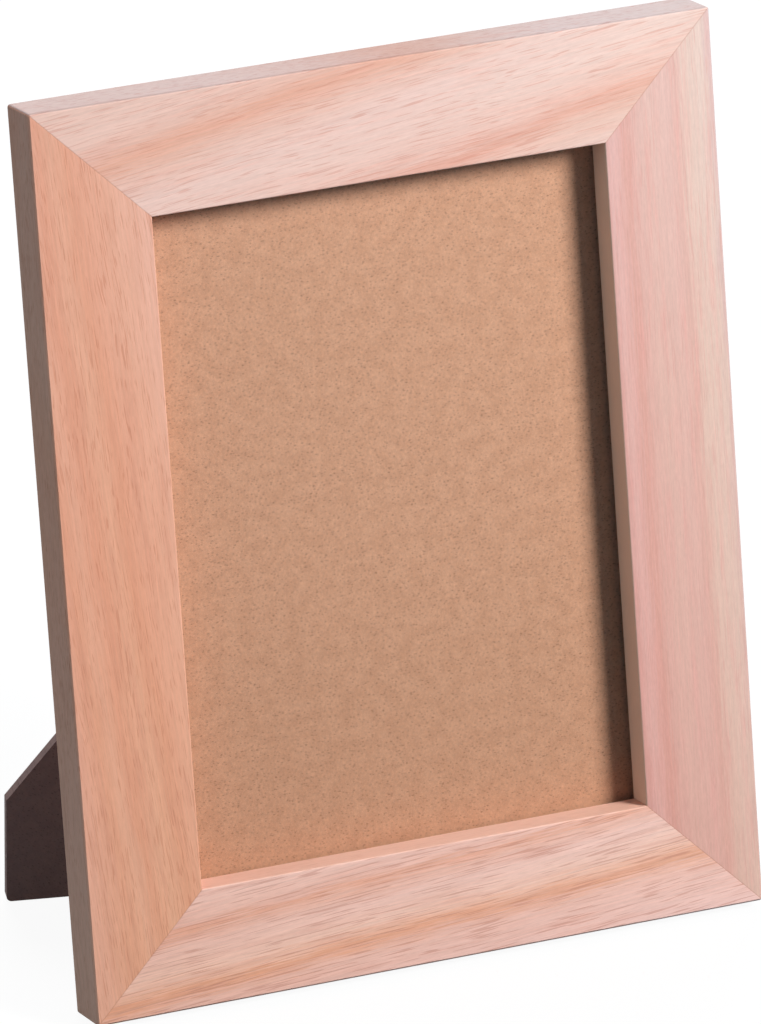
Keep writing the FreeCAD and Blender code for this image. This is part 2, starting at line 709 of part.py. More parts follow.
# Sawtooth hangers: a raised toothed bridge between two nailed feet, teeth towards the centre
def make_hangers():
    wide, tall = size["half_width"], size["frame_height"]
    for label, x, y, turns in (
            ("sawtooth_hanger_top", 0, tall - size["hanger_set_in"], 0),
            ("sawtooth_hanger_side", wide - size["hanger_set_in"], size["half_height"], -1)):
        body = new_body(label)
        section = sketch_on(body, label + "_section", "XZ_Plane")
        polygon(section, [("-hanger_half", ""), ("-bridge_foot", ""), ("-bridge_half", "hanger_rise"),
                          ("bridge_half", "hanger_rise"), ("bridge_foot", ""), ("hanger_half", ""),
                          ("hanger_half", "hanger_thick"), ("bridge_foot", "hanger_thick"),
                          ("bridge_half", "bridge_top"), ("-bridge_half", "bridge_top"),
                          ("-bridge_foot", "hanger_thick"), ("-hanger_half", "hanger_thick")])
        pad(body, section, "hanger_width", both_ways=True)
        upright = [edge for x_end in (-size["hanger_half"], size["hanger_half"])
                   for y_side in (-size["hanger_edge"], size["hanger_edge"])
                   for edge in edges_at(body.Shape, x=x_end, y=y_side)]
        rounded(body, label + "_ends", "hanger_round", upright)
        tooth = sketch_on(body, label + "_tooth", "XY_Plane")
        polygon(tooth, [("-tooth_left", "tooth_out"), ("-tooth_first", "tooth_root"),
                        ("-tooth_right", "tooth_out")])
        notch = pocket(body, tooth)
        teeth = body.newObject("PartDesign::LinearPattern", label + "_teeth")
        teeth.Originals = [notch]
        teeth.Direction = (plane(body, "X_Axis"), [""])
        teeth.Mode = "Spacing"
        teeth.setExpression("Offset", formula("tooth_pitch"))
        teeth.setExpression("Occurrences", formula("tooth_count"))
        body.Tip = teeth
        doc.recompute()
        holes = sketch_on(body, label + "_holes", "XY_Plane")
        circle(holes, ("-nail_spread", ""), "nail_hole")
        circle(holes, ("nail_spread", ""), "nail_hole")
        pocket(body, holes)
        rotation = turned((0, 0, 1), turns * quarter_turn) * facing_back
        finish(label, body, frame_place * moved(x, y, 0, rotation))


make_rails()
make_v_nails()
make_stack()
make_strut()
make_board_leaf()
make_strut_leaf()
make_pin()
make_rivets()
make_fixings()
make_turn_buttons()
make_hangers()
doc.recompute()

for item in doc.Objects:
    if "Invalid" in item.State or "Error" in item.State:
        raise RuntimeError("%s did not build" % item.Name)
    if item.TypeId == "PartDesign::Pocket":
        if item.Shape.Volume >= item.BaseFeature.Shape.Volume:
            raise RuntimeError("%s cuts nothing" % item.Name)
for label, item in pieces.items():
    if item.Shape.isNull() or not item.Shape.isValid():
        raise RuntimeError("%s has no sound shape" % label)

# The origin is at the middle of the standing object's footprint, on the ground
box = FreeCAD.BoundBox()
for item in pieces.values():
    box.add(item.Shape.optimalBoundingBox(False))
stand = moved(-box.Center.x, -box.Center.y, -box.ZMin)
for item in pieces.values():
    item.Placement = stand * item.Placement
doc.recompute()

os.makedirs("parts", exist_ok=True)
for label, item in pieces.items():
    item.Shape.exportStep("parts/%s.step" % label)
    print(label, len(item.Shape.Solids), "solids", round(item.Shape.Volume, 1), "mm3")
print("moved to the origin by", round(stand.Base.x, 4), round(stand.Base.y, 4), round(stand.Base.z, 4))
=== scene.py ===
import bpy
import bmesh
import math
from mathutils import Matrix, Vector


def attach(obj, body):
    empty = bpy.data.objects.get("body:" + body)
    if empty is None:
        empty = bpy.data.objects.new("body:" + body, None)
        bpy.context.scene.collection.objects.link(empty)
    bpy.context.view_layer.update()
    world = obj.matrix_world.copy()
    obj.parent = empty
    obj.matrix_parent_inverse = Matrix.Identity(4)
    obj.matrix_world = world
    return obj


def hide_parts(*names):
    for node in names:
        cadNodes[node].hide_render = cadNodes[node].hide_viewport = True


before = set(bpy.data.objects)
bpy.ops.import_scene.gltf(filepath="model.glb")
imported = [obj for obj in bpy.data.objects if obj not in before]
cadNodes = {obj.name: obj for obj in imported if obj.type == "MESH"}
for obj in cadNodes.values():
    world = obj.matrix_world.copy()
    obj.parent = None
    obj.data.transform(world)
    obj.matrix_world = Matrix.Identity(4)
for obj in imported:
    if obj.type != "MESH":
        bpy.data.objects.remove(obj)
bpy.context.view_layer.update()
print("frame loaded with", len(cadNodes), "nodes")

mm = 0.001


def at(matrix, x, y, z):
    return matrix @ Matrix.Translation(Vector((x, y, z)) * mm)


def spun(degrees, axis):
    return Matrix.Rotation(math.radians(degrees), 4, axis)


# Places on the frame are u to the viewer's right, v up and n forward, in mm from the middle of
# the back's lower edge
frameSizes = {"width": 180, "height": 230, "rail": 30, "lean": 10,
              "stand": (0, -26.6431, -0.0868)}
halfWidth = frameSizes["width"] / 2
halfHeight = frameSizes["height"] / 2
onFrame = (Matrix.Translation(Vector(frameSizes["stand"]) * mm)
           @ spun(90 - frameSizes["lean"], "X"))
onMiddle = at(onFrame, 0, halfHeight, 0)

# Places on the hinge are x along the pin, y down the strut and z away from the back, in mm
hingeSizes = {"pastCentre": 40, "pinHeight": 2.05, "opening": 20}
slant = math.atan2(frameSizes["width"], frameSizes["height"])
hingeSpot = (hingeSizes["pastCentre"] * math.sin(slant),
             halfHeight + hingeSizes["pastCentre"] * math.cos(slant), 0)
onHinge = at(onFrame, *hingeSpot) @ Matrix.Rotation(-slant, 4, "Z") @ spun(180, "X")
onPin = at(onHinge, 0, 0, hingeSizes["pinHeight"])
onStrut = at(onPin @ spun(hingeSizes["opening"], "X"), 0, 0, -hingeSizes["pinHeight"])


# Screen levels from 0 to 255 as the linear colour that a socket takes
def paint(red, green, blue):
    levels = [part / 255 for part in (red, green, blue)]
    return [part / 12.92 if part < 0.04045 else ((part + 0.055) / 1.055) ** 2.4
            for part in levels] + [1]


def addNode(tree, kind, inputs=None, **settings):
    made = tree.nodes.new("ShaderNode" + kind)
    for name, value in settings.items():
        setattr(made, name, value)
    for name, value in (inputs or {}).items():
        socket = made.inputs[name]
        if isinstance(value, bpy.types.NodeSocket):
            tree.links.new(value, socket)
        else:
            socket.default_value = value
    return made


def send(tree, sockets, values):
    for name, value in values.items():
        tree.links.new(value, sockets[name])


def sums(tree, operation, first, second=0.0, third=0.0):
    return addNode(tree, "Math", {0: first, 1: second, 2: third}, operation=operation).outputs[0]


# A noise of 0 to 1 centred on 0, weighed and added to a start
def swing(tree, value, weight, start=1.0):
    return sums(tree, "MULTIPLY_ADD", sums(tree, "SUBTRACT", value, 0.5), weight, start)


def vectorSums(tree, operation, first, second):
    return addNode(tree, "VectorMath", {0: first, 1: second}, operation=operation).outputs[0]


def shaded(tree, color, shade):
    return addNode(tree, "VectorMath", {0: color, "Scale": shade}, operation="SCALE").outputs[0]


def parted(tree, vector):
    return addNode(tree, "SeparateXYZ", {"Vector": vector}).outputs


def blendColor(tree, share, first, second, kind="MIX"):
    made = addNode(tree, "Mix", {0: share, 6: first, 7: second}, data_type="RGBA", blend_type=kind)
    return made.outputs[2]


def fade(tree, value, low, high, start=0.0, end=1.0, kind="SMOOTHSTEP"):
    made = addNode(tree, "MapRange", {"Value": value, "From Min": low, "From Max": high,
                                      "To Min": start, "To Max": end}, interpolation_type=kind)
    return made.outputs[0]


def stretched(tree, place, scale, turn=0.0):
    made = addNode(tree, "Mapping", {"Vector": place, "Scale": scale,
                                     "Rotation": (0, 0, math.radians(turn))})
    return made.outputs[0]


def noise(tree, place, scale, detail, roughness, turn=0.0):
    made = addNode(tree, "TexNoise", {"Vector": stretched(tree, place, scale, turn), "Scale": 1.0,
                                      "Detail": detail, "Roughness": roughness})
    return made.outputs["Fac"]


# A node group with named sockets; each input is a name, a kind and a starting value
def newGroup(name, inputs, outputs):
    tree = bpy.data.node_groups.new(name, "ShaderNodeTree")
    for socketName, kind, value in inputs:
        socket = tree.interface.new_socket(socketName, in_out="INPUT",
                                           socket_type="NodeSocket" + kind)
        if kind != "Vector":
            socket.default_value = value
    for socketName, kind in outputs:
        tree.interface.new_socket(socketName, in_out="OUTPUT", socket_type="NodeSocket" + kind)
    start = tree.nodes.new("NodeGroupInput")
    end = tree.nodes.new("NodeGroupOutput")
    return tree, start.outputs, end.inputs


def useGroup(tree, group, inputs):
    return addNode(tree, "Group", inputs, node_tree=group).outputs


# The shared effects take places in mm. A noise is its scale in features for each mm, its detail
# and its roughness, with a turn in degrees where it has one
surfaceOutputs = [("Color", "Color"), ("Height", "Float"), ("Roughness", "Float")]
grainLook = {
    "bend": ((0.014, 0.03, 0.03), 2.0, 0.5), "patch": ((0.035, 0.2, 0.2), 3.0, 0.6),
    "patchFade": (0.38, 0.62), "streak": ((0.03, 0.5, 0.5), 4.0, 0.65), "streakFade": (0.46, 0.68),
    "streakInPatch": 0.6, "lines": ((0.05, 1.9, 1.9), 2.0, 0.6), "lineHeight": 0.35,
    "nap": ((0.5, 2.6, 2.6), 2.0, 0.6), "poreDetail": 0.6, "poreRagged": 0.5, "poreFrom": 0.7,
    "poreSoft": 0.1, "poreThin": 0.12, "rough": 0.66, "poreRough": 0.15,
}


# Open pores and fine figure of a coarse pink hardwood, with the grain along x
def makeGrainGroup(look):
    tree, given, out = newGroup(
        "hardwoodGrain",
        [("Place", "Vector", None), ("Broad Color", "Color", (0.8, 0.6, 0.5, 1)),
         ("Streak Color", "Color", (0.7, 0.4, 0.3, 1)), ("Streak Share", "Float", 0.4),
         ("Pore Color", "Color", (0.5, 0.3, 0.25, 1)), ("Pore Share", "Float", 0.6),
         ("Pore Length", "Float", 6.0), ("Pore Spacing", "Float", 0.8),
         ("Pore Cover", "Float", 0.1), ("Pore Patches", "Float", 0.5), ("Wander", "Float", 1.5),
         ("Line Share", "Float", 0.1), ("Nap Share", "Float", 0.1)], surfaceOutputs)
    # the lines wander a little as they run along the rail
    bend = sums(tree, "SUBTRACT", noise(tree, given["Place"], *look["bend"]), 0.5)
    bend = sums(tree, "MULTIPLY", bend, given["Wander"])
    shift = addNode(tree, "CombineXYZ", {"X": 0.0, "Y": bend, "Z": bend})
    place = vectorSums(tree, "ADD", given["Place"], shift.outputs[0])
    patch = fade(tree, noise(tree, place, *look["patch"]), *look["patchFade"])
    streak = fade(tree, noise(tree, place, *look["streak"]), *look["streakFade"])
    inPatch = look["streakInPatch"]
    streak = sums(tree, "MULTIPLY", streak,
                  sums(tree, "MULTIPLY_ADD", patch, inPatch, 1 - inPatch))
    color = blendColor(tree, sums(tree, "MULTIPLY", streak, given["Streak Share"]),
                       given["Broad Color"], given["Streak Color"])
    lines = noise(tree, place, *look["lines"])
    shade = swing(tree, lines, given["Line Share"])
    # short fibres left standing by the plane
    nap = noise(tree, place, *look["nap"])
    color = shaded(tree, color, swing(tree, nap, given["Nap Share"], shade))
    # pores are short open dashes, in patches that follow the growth of the tree
    along = sums(tree, "DIVIDE", 1.0, given["Pore Length"])
    across = sums(tree, "DIVIDE", 1.0, given["Pore Spacing"])
    scale = addNode(tree, "CombineXYZ", {"X": along, "Y": across, "Z": across})
    cells = vectorSums(tree, "MULTIPLY", place, scale.outputs[0])
    dashes = addNode(tree, "TexNoise", {"Vector": cells, "Scale": 1.0, "Detail": look["poreDetail"],
                                        "Roughness": look["poreRagged"]}).outputs["Fac"]
    sparse = sums(tree, "MULTIPLY", sums(tree, "SUBTRACT", 1.0, patch), given["Pore Patches"])
    edge = sums(tree, "MULTIPLY_ADD", sparse, look["poreThin"],
                sums(tree, "SUBTRACT", look["poreFrom"], given["Pore Cover"]))
    depth = fade(tree, dashes, edge, sums(tree, "ADD", edge, look["poreSoft"]))
    mask = sums(tree, "MULTIPLY", depth, given["Pore Share"])
    sunk = sums(tree, "MULTIPLY", depth, -1.0)
    send(tree, out, {
        "Color": blendColor(tree, mask, color, given["Pore Color"]),
        "Height": sums(tree, "MULTIPLY_ADD", lines, look["lineHeight"], sunk),
        "Roughness": sums(tree, "MULTIPLY_ADD", depth, look["poreRough"], look["rough"])})
    return tree


# fleckLayers: each has its turn, scale, share of empty cells and colour
fibreLook = {
    "cloud": ((0.24, 0.24, 0.24), 4.0, 0.6), "cloudFade": (0.36, 0.64),
    "fuzz": ((1.5, 1.15, 1.3), 1.5, 0.6), "fuzzShade": 0.42, "fleckCore": 0.05, "fleckVary": 0.6,
    "fleckLayers": [(17, (0.75, 1.15, 1.1), 0.5, "Fleck Color"),
                    (74, (0.55, 1.0, 0.9), 0.62, "Fleck Color"),
                    (-41, (0.5, 0.8, 0.8), 0.6, "Pale Color")],
    "roughFade": (0.3, 0.7, 0.62, 0.82), "specular": 0.25, "depth": 0.08,
}


# Pressed fibres with dark and pale flecks, as on kraft card and hardboard
def makeFibreGroup(look):
    tree, given, out = newGroup(
        "pressedFibre",
        [("Place", "Vector", None), ("Base Color", "Color", (0.5, 0.3, 0.2, 1)),
         ("Pale Color", "Color", (0.6, 0.4, 0.3, 1)), ("Fleck Color", "Color", (0.2, 0.1, 0.1, 1)),
         ("Mottle", "Float", 0.5), ("Fleck Share", "Float", 0.5), ("Fleck Size", "Float", 0.16)],
        surfaceOutputs)
    place = given["Place"]
    cloud = fade(tree, noise(tree, place, *look["cloud"]), *look["cloudFade"])
    color = blendColor(tree, sums(tree, "MULTIPLY", cloud, given["Mottle"]),
                       given["Base Color"], given["Pale Color"])
    fuzz = noise(tree, place, *look["fuzz"])
    color = shaded(tree, color, swing(tree, fuzz, look["fuzzShade"]))
    vary = look["fleckVary"]
    for turn, scale, rare, fleck in look["fleckLayers"]:
        cells = addNode(tree, "TexVoronoi", {"Vector": stretched(tree, place, scale, turn),
                                             "Scale": 1.0}, voronoi_dimensions="2D")
        chance = addNode(tree, "SeparateColor", {"Color": cells.outputs["Color"]}).outputs
        spot = fade(tree, cells.outputs["Distance"], given["Fleck Size"], look["fleckCore"])
        spot = sums(tree, "MULTIPLY", spot, sums(tree, "GREATER_THAN", chance[0], rare))
        spot = sums(tree, "MULTIPLY", spot,
                    sums(tree, "MULTIPLY_ADD", chance[1], vary, 1 - vary))
        color = blendColor(tree, sums(tree, "MULTIPLY", spot, given["Fleck Share"]),
                           color, given[fleck])
    send(tree, out, {"Color": color, "Height": fuzz,
                     "Roughness": fade(tree, fuzz, *look["roughFade"])})
    return tree


plateLook = {
    "bloom": ((0.35, 0.35, 0.35), 5.0, 0.65), "bloomFade": (0.4, 0.65), "bloomRough": 0.18,
    "rubs": ((0.25, 9.0, 9.0), 2.0, 0.5, 12), "rubRough": 0.12, "depth": 0.02, "relief": 0.3,
}


# Rubbed and lightly dulled plated steel
def makeSteelGroup(look):
    tree, given, out = newGroup(
        "platedSteel",
        [("Place", "Vector", None), ("Bright Color", "Color", (0.6, 0.6, 0.6, 1)),
         ("Dull Color", "Color", (0.4, 0.4, 0.4, 1)), ("Dull Share", "Float", 0.5),
         ("Smoothness", "Float", 0.3)], surfaceOutputs)
    bloom = fade(tree, noise(tree, given["Place"], *look["bloom"]), *look["bloomFade"])
    rubs = noise(tree, given["Place"], *look["rubs"])
    rough = sums(tree, "MULTIPLY_ADD", bloom, look["bloomRough"], given["Smoothness"])
    send(tree, out, {
        "Color": blendColor(tree, sums(tree, "MULTIPLY", bloom, given["Dull Share"]),
                            given["Bright Color"], given["Dull Color"]),
        "Height": rubs,
        "Roughness": sums(tree, "MULTIPLY_ADD", rubs, look["rubRough"], rough)})
    return tree


# uneven: what the noise makes of the line's width; outer and inner: mm from the rail's edges, outer
# being where the painted shade of the outer sides fades
mitreLook = {
    "width": 0.26, "color": (176, 112, 88), "share": 0.4, "ragged": ((0.9, 0.9, 0.9), 4.0, 0.7),
    "uneven": (3.0, -0.4), "outer": (0.5, 0.1), "inner": (0.3, 0.05), "innerShare": 0.65,
}


# A hairline of glue and torn grain where two rails meet, a mask of the outer sides that get painted
# shade, and a mask of the inner sides
def makeMitreGroup(look):
    tree, given, out = newGroup("mitreLine", [("Place", "Vector", None),
                                              ("Line Width", "Float", 0.3)],
                                [("Line", "Float"), ("Outer Shade", "Float"), ("Inner", "Float")])
    parts = parted(tree, given["Place"])
    fromSide = sums(tree, "SUBTRACT", halfWidth, sums(tree, "ABSOLUTE", parts["X"]))
    fromEnd = sums(tree, "SUBTRACT", halfHeight, sums(tree, "ABSOLUTE", parts["Y"]))
    away = sums(tree, "ABSOLUTE", sums(tree, "SUBTRACT", fromSide, fromEnd))
    ragged = noise(tree, given["Place"], *look["ragged"])
    width = sums(tree, "MULTIPLY", given["Line Width"],
                 sums(tree, "MULTIPLY_ADD", ragged, *look["uneven"]))
    nearest = sums(tree, "MINIMUM", fromSide, fromEnd)
    inner = [frameSizes["rail"] - gap for gap in look["inner"]]
    send(tree, out, {"Line": fade(tree, away, width, 0.0, kind="LINEAR"),
                     "Outer Shade": fade(tree, nearest, *look["outer"]),
                     "Inner": fade(tree, nearest, *inner)})
    return tree


grainGroup = makeGrainGroup(grainLook)
fibreGroup = makeFibreGroup(fibreLook)
steelGroup = makeSteelGroup(plateLook)
mitreGroup = makeMitreGroup(mitreLook)
print("shared effects ready")


# Object coordinates in mm about a place, turned by a matrix
def placeIn(tree, matrix):
    where = addNode(tree, "TexCoord").outputs["Object"]
    made = addNode(tree, "Mapping", {"Vector": where, "Location": matrix.to_translation(),
                                     "Rotation": matrix.to_euler("XYZ"), "Scale": (mm, mm, mm)},
                   vector_type="TEXTURE")
    return made.outputs[0]


def newFinish(name, specular=0.5):
    finish = bpy.data.materials.new(name)
    finish.use_nodes = True
    tree = finish.node_tree
    shader = tree.nodes["Principled BSDF"]
    shader.inputs["Specular IOR Level"].default_value = specular
    return finish, tree, shader


def addBump(tree, shader, height, depth, strength):
    bump = addNode(tree, "Bump", {"Height": height, "Distance": depth * mm, "Strength": strength})
    tree.links.new(bump.outputs[0], shader.inputs["Normal"])


def addBands(tree, value, low, high, stops):
    ramp = addNode(tree, "ValToRGB", {"Fac": fade(tree, value, low, high, kind="LINEAR")})
    elements = ramp.color_ramp.elements
    while len(elements) < len(stops):
        elements.new(0.5)
    for element, (spot, color) in zip(elements, stops):
        element.position = (spot - low) / (high - low)
        element.color = paint(*color)
    return ramp.outputs["Color"]


# The four rails, each cut from its own length of wood
# bands: mm across the grain to colour; along: mm along the grain to a multiplying tint
# outer: painted shade with a greyer tone, multiplied over the outer faces, darkest on the top
# rail's top face
railLooks = {
    "top_rail": {
        "middle": (0, 215), "turn": 7, "slope": 0.091, "reach": 30,
        "bands": [(-28, (240, 206, 194)), (-20, (239, 197, 181)), (-16.5, (234, 177, 158)),
                  (-13, (241, 200, 186)), (-6, (243, 210, 198)), (3, (243, 210, 199)),
                  (8, (240, 201, 186)), (11.5, (237, 187, 167)), (14, (235, 180, 158)),
                  (18, (239, 197, 181)), (23, (241, 206, 193))],
        "along": [(-90, (249, 244, 242)), (0, (244, 241, 241)), (90, (241, 245, 246))],
        "streak": (231, 172, 155), "streakShare": 0.36, "pore": (208, 142, 124), "poreShare": 0.42,
        "poreLength": 8, "poreSpacing": 0.34, "poreCover": 0.125, "porePatches": 0.3,
        "wander": 3, "ragged": 8, "lines": 0.28, "nap": 0.16, "relief": 0.2, "seed": 11,
        "outer": (202, 210, 218), "inner": (238, 200, 184),
    },
    "bottom_rail": {
        "middle": (0, 15), "turn": 4.3, "slope": 0.0, "reach": 22,
        "bands": [(-20, (243, 202, 191)), (-9, (243, 198, 183)), (-6.5, (239, 184, 160)),
                  (-5, (235, 173, 142)), (-3, (243, 192, 168)), (0, (247, 206, 189)),
                  (5, (245, 204, 191)), (8.5, (241, 191, 172)), (10, (236, 178, 154)),
                  (12, (243, 198, 183)), (18, (247, 208, 196))],
        "along": [(-90, (255, 244, 236)), (0, (254, 249, 247)), (90, (254, 253, 254))],
        "streak": (227, 168, 149), "streakShare": 0.5, "pore": (196, 134, 116), "poreShare": 0.46,
        "poreLength": 11, "poreSpacing": 0.36, "poreCover": 0.135, "porePatches": 0.3,
        "wander": 2.5, "ragged": 8, "lines": 0.34, "nap": 0.18, "relief": 0.2, "seed": 29,
        "outer": (236, 240, 244), "inner": (240, 198, 178),
    },
    "left_stile": {
        "middle": (-75, 115), "turn": 95, "slope": 0.0, "reach": 24,
        "bands": [(-20, (240, 185, 165)), (-12, (238, 179, 155)), (-7, (237, 174, 149)),
                  (-3, (233, 167, 140)), (1, (238, 178, 152)), (5, (233, 166, 140)),
                  (9, (238, 178, 154)), (13, (235, 170, 144)), (20, (238, 177, 157))],
        "along": [(-115, (255, 255, 243)), (0, (253, 247, 238)), (115, (250, 252, 252))],
        "streak": (215, 148, 122), "streakShare": 0.5, "pore": (200, 126, 97), "poreShare": 0.4,
        "poreLength": 5.5, "poreSpacing": 0.3, "poreCover": 0.13, "porePatches": 0.5,
        "wander": 4, "ragged": 7, "lines": 0.26, "nap": 0.16, "relief": 0.2, "seed": 47,
        "outer": (234, 242, 248), "inner": (232, 174, 150),
    },
    "right_stile": {
        "middle": (75, 115), "turn": 90.4, "slope": 0.0, "reach": 16,
        "bands": [(-15, (228, 192, 186)), (-13, (237, 206, 194)), (-8, (237, 203, 190)),
                  (-5.5, (234, 187, 176)), (-3, (235, 191, 181)), (3, (235, 192, 181)),
                  (6.5, (234, 186, 176)), (8.8, (231, 175, 164)), (11, (235, 184, 176)),
                  (13, (236, 188, 181)), (15, (228, 174, 166))],
        "along": [(-115, (239, 226, 219)), (20, (238, 236, 232)), (115, (239, 245, 246))],
        "streak": (226, 162, 152), "streakShare": 0.4, "pore": (216, 156, 146), "poreShare": 0.36,
        "poreLength": 9, "poreSpacing": 0.26, "poreCover": 0.12, "porePatches": 0.6,
        "wander": 1.2, "ragged": 6, "lines": 0.2, "nap": 0.22, "relief": 0.15, "seed": 83,
        "outer": (236, 240, 244), "inner": (222, 200, 174),
    },
}
woodLook = {"specular": 0.2, "sway": ((0.02, 0.08, 0.08), 2.0, 0.6),
            "ragged": ((0.07, 2.0, 2.0), 3.0, 0.6), "seedStep": 7.3, "depth": 0.12}


def woodFinish(name, look):
    finish, tree, shader = newFinish(name + "_wood", woodLook["specular"])
    place = placeIn(tree, at(onFrame, *look["middle"], 0) @ spun(look["turn"], "Z"))
    parts = parted(tree, place)
    sway = noise(tree, place, *woodLook["sway"])
    across = swing(tree, sway, 2 * look["wander"], parts["Y"])
    ragged = noise(tree, place, *woodLook["ragged"])
    across = swing(tree, ragged, look["ragged"], across)
    across = sums(tree, "MULTIPLY_ADD", parts["X"], -look["slope"], across)
    broad = addBands(tree, across, -look["reach"], look["reach"], look["bands"])
    tint = addBands(tree, parts["X"], -halfHeight, halfHeight, look["along"])
    broad = blendColor(tree, 1.0, broad, tint, "MULTIPLY")
    seed = look["seed"]
    wood = useGroup(tree, grainGroup, {
        "Place": vectorSums(tree, "ADD", place, (seed * woodLook["seedStep"], seed, 0)),
        "Broad Color": broad, "Streak Color": paint(*look["streak"]),
        "Streak Share": look["streakShare"], "Pore Color": paint(*look["pore"]),
        "Pore Share": look["poreShare"], "Pore Length": look["poreLength"],
        "Pore Spacing": look["poreSpacing"], "Pore Cover": look["poreCover"],
        "Pore Patches": look["porePatches"], "Wander": look["wander"],
        "Line Share": look["lines"], "Nap Share": look["nap"]})
    mitre = useGroup(tree, mitreGroup, {"Place": placeIn(tree, onMiddle),
                                        "Line Width": mitreLook["width"]})
    # painted shade: the outer faces are multiplied darker and greyer
    color = blendColor(tree, mitre["Outer Shade"], wood["Color"], paint(*look["outer"]), "MULTIPLY")
    inner = sums(tree, "MULTIPLY", mitre["Inner"], mitreLook["innerShare"])
    color = blendColor(tree, inner, color, paint(*look["inner"]))
    seam = sums(tree, "MULTIPLY", mitre["Line"], mitreLook["share"])
    color = blendColor(tree, seam, color, paint(*mitreLook["color"]))
    send(tree, shader.inputs, {"Base Color": color, "Roughness": wood["Roughness"]})
    height = sums(tree, "SUBTRACT", wood["Height"], mitre["Line"])
    addBump(tree, shader, height, woodLook["depth"], look["relief"])
    return finish


def paintNode(name, finish):
    for holder in cadNodes[name].material_slots:
        holder.material = finish


for railName, look in railLooks.items():
    paintNode(railName, woodFinish(railName, look))
print("rails painted")

# Pressed boards: the brown card in the opening, the back and its strut
# along: mm up the frame to a multiplying tint
boardLooks = {
    "insert_card": {"base": (198, 149, 119), "pale": (212, 163, 133), "fleck": (121, 84, 62),
                    "mottle": 0.5, "flecks": 0.52, "fleckSize": 0.27, "relief": 0.04,
                    "along": [(30, (246, 242, 237)), (110, (254, 252, 250)),
                              (200, (255, 255, 255))]},
    "backing_board": {"base": (120, 84, 62), "pale": (138, 100, 76), "fleck": (70, 46, 36),
                      "mottle": 0.6, "flecks": 0.6, "fleckSize": 0.26, "relief": 0.3},
    "easel_strut": {"base": (128, 102, 98), "pale": (142, 114, 107), "fleck": (70, 52, 48),
                    "mottle": 0.6, "flecks": 0.6, "fleckSize": 0.26, "relief": 0.3},
}


def boardFinish(name, look):
    finish, tree, shader = newFinish(name + "_fibre", fibreLook["specular"])
    place = placeIn(tree, onStrut if name == "easel_strut" else onFrame)
    fibre = useGroup(tree, fibreGroup, {
        "Place": place, "Base Color": paint(*look["base"]), "Pale Color": paint(*look["pale"]),
        "Fleck Color": paint(*look["fleck"]), "Mottle": look["mottle"],
        "Fleck Share": look["flecks"], "Fleck Size": look["fleckSize"]})
    color = fibre["Color"]
    if "along" in look:
        low, high = look["along"][0][0], look["along"][-1][0]
        tint = addBands(tree, parted(tree, place)["Y"], low, high, look["along"])
        color = blendColor(tree, 1.0, color, tint, "MULTIPLY")
    send(tree, shader.inputs, {"Base Color": color, "Roughness": fibre["Roughness"]})
    addBump(tree, shader, fibre["Height"], fibreLook["depth"], look["relief"])
    return finish


for boardName, look in boardLooks.items():
    paintNode(boardName, boardFinish(boardName, look))
print("boards painted")

# The clear pane, which lets the lamps through to the card
paneLook = {"specular": 0.12, "roughness": 0.02, "ior": 1.12}


def paneFinish(look):
    finish, tree, shader = newFinish("clear_pane", look["specular"])
    shader.inputs["Base Color"].default_value = (1, 1, 1, 1)
    shader.inputs["Roughness"].default_value = look["roughness"]
    shader.inputs["IOR"].default_value = look["ior"]
    shader.inputs["Transmission Weight"].default_value = 1
    rays = addNode(tree, "LightPath").outputs
    passing = sums(tree, "MAXIMUM", rays["Is Shadow Ray"], rays["Is Diffuse Ray"])
    clear = addNode(tree, "BsdfTransparent")
    both = addNode(tree, "MixShader", {0: passing, 1: shader.outputs[0], 2: clear.outputs[0]})
    tree.links.new(both.outputs[0], tree.nodes["Material Output"].inputs["Surface"])
    return finish


paintNode("glazing_pane", paneFinish(paneLook))

steelLooks = {
    "zincPlate": {"bright": (186, 188, 190), "dull": (150, 152, 154), "share": 0.5,
                  "smooth": 0.28},
    "screwSteel": {"bright": (192, 190, 184), "dull": (150, 146, 138), "share": 0.5,
                   "smooth": 0.2},
    "nailSteel": {"bright": (170, 168, 164), "dull": (112, 108, 102), "share": 0.6,
                  "smooth": 0.3},
    "rivetSteel": {"bright": (198, 198, 196), "dull": (158, 158, 156), "share": 0.4,
                   "smooth": 0.18},
}

# Pan head screws with a cross recess, one through each turn button, in mm and degrees
# dome: shares of the head's radius and height; slotTaper: the recess's floor along and across
# recessShade with its share, fade depths and softness in mm: the painted shade down in the cross
# recesses
screwSizes = {"across": 32, "low": 18, "high": 212, "firstTurn": 17, "turnStep": 31, "seat": 1.1,
              "headRadius": 3.0, "headHigh": 1.6, "chamfer": 0.06,
              "dome": [(0, 1), (0.35, 0.9875), (0.62, 0.92), (0.84, 0.74), (0.96, 0.46), (1, 0.2)],
              "shankRadius": 1.35, "tip": 9.0, "point": 2.6, "slotLong": 1.75, "slotWide": 0.46,
              "slotDeep": 1.15, "slotTaper": (0.432, 0.72), "steps": 48, "smoothUnder": 30,
              "weld": 0.002, "recessShade": (64, 60, 54), "recessShadeShare": 0.75, "recessShadeFade": (0.2, 0.6),
              "recessShadeSoft": 0.15}


# 1 down in the screws' recesses, where painted shade darkens the plating
def recessShadeMask(tree, size):
    parts = parted(tree, placeIn(tree, onMiddle))
    rise = (size["high"] - size["low"]) / 2
    aside = sums(tree, "SUBTRACT", sums(tree, "ABSOLUTE", parts["X"]), size["across"])
    above = sums(tree, "SUBTRACT", sums(tree, "ABSOLUTE", parts["Y"]), rise)
    away = sums(tree, "SQRT", sums(tree, "MULTIPLY_ADD", aside, aside,
                                   sums(tree, "POWER", above, 2.0)))
    ends = [size["seat"] + size["headHigh"] - depth for depth in size["recessShadeFade"]]
    deep = fade(tree, sums(tree, "ABSOLUTE", parts["Z"]), *ends)
    inside = fade(tree, away, size["slotLong"] + size["recessShadeSoft"], size["slotLong"])
    return sums(tree, "MULTIPLY", deep, inside)


